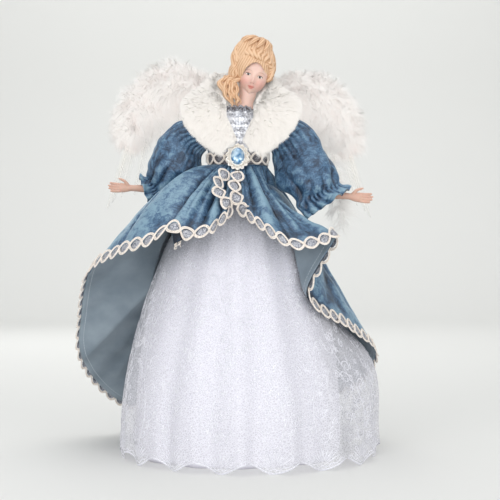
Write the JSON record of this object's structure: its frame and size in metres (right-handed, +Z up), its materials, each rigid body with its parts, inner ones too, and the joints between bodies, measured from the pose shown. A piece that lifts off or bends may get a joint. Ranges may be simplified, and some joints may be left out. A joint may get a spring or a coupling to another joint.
{
  "type": "angel tree topper",
  "caption": "Dressed angel doll on a card cone that sits over the tip of a tree, with bendable arms, hands and feather wings.",
  "frame": {"origin": "centre of the cone's open mouth, on the plane that the part stands on", "axes": "+Z up, -Y to the doll's front, +X to the doll's own left"},
  "size_m": [0.3086, 0.2783, 0.4067],
  "materials": {
    "card": "plain stiff card",
    "foam": "expanded foam and wadding",
    "bisque": "painted matte bisque",
    "hair": "moulded, painted golden",
    "satin": "smooth satin weave",
    "lace": "embroidered net",
    "sequins": "silver sequins on cloth",
    "velvet": "crushed velvet, plain reverse",
    "braid": "corded gimp braid with silver centres",
    "ribbon": "grosgrain",
    "filigree": "cast filigree, pale gold plate",
    "gem": "faceted clear blue acrylic",
    "fur": "white fur pile",
    "down": "white marabou down and feathers",
    "wire": "soft wire",
    "elastic": "woven elastic"
  },
  "bodies": {
    "root": {"tree_cone": "card", "torso_core": "foam", "shoulder_wire": "wire", "head_casting": "bisque", "moulded_hair": "hair", "sequin_bodice": "sequins", "neckline_trim": "braid", "satin_skirt": "satin", "lace_overskirt": "lace", "coat_bodice": "velvet", "coat_skirt": "velvet", "coat_braid": "braid", "waist_ribbon": "ribbon", "belt_braid": "braid", "fur_collar": "fur", "brooch_setting": "filigree", "brooch_gem": "gem", "wing_plate": "card"},
    "right_arm": {"right_sleeve": "velvet", "right_cuff_elastic": "elastic", "right_arm_wire": "wire", "right_arm_padding": "foam"},
    "right_hand": {"right_forearm": "bisque"},
    "right_wing": {"right_wing_wire": "wire", "right_wing_marabou": "down", "right_wing_feather_1": "down", "right_wing_feather_2": "down", "right_wing_feather_3": "down", "right_wing_feather_4": "down", "right_wing_feather_5": "down", "right_wing_feather_6": "down"},
    "left_arm": {"left_sleeve": "velvet", "left_cuff_elastic": "elastic", "left_arm_wire": "wire", "left_arm_padding": "foam"},
    "left_hand": {"left_forearm": "bisque"},
    "left_wing": {"left_wing_wire": "wire", "left_wing_marabou": "down", "left_wing_feather_1": "down", "left_wing_feather_2": "down", "left_wing_feather_3": "down", "left_wing_feather_4": "down", "left_wing_feather_5": "down", "left_wing_feather_6": "down"}
  },
  "joints": [
    {"name": "right_shoulder_bend", "type": "hinge", "parent": "root", "child": "right_arm", "pos_m": [-0.038, 0, 0.312], "axis": [0, 1, 0], "range_deg": [0, 15]},
    {"name": "right_wrist_bend", "type": "hinge", "parent": "right_arm", "child": "right_hand", "pos_m": [-0.08, 0.005, 0.257], "axis": [0, -1, 0], "range_deg": [-8, 20]},
    {"name": "right_wing_swing", "type": "hinge", "parent": "root", "child": "right_wing", "pos_m": [-0.007, 0.02943, 0.305], "axis": [0, 0, -1], "range_deg": [0, 35]},
    {"name": "left_shoulder_bend", "type": "hinge", "parent": "root", "child": "left_arm", "pos_m": [0.038, 0, 0.312], "axis": [0, -1, 0], "range_deg": [0, 15]},
    {"name": "left_wrist_bend", "type": "hinge", "parent": "left_arm", "child": "left_hand", "pos_m": [0.081, -0.037, 0.2505], "axis": [0, 1, 0], "range_deg": [0, 20]},
    {"name": "left_wing_swing", "type": "hinge", "parent": "root", "child": "left_wing", "pos_m": [0.007, 0.02943, 0.305], "axis": [0, 0, 1], "range_deg": [0, 35]}
  ]
}
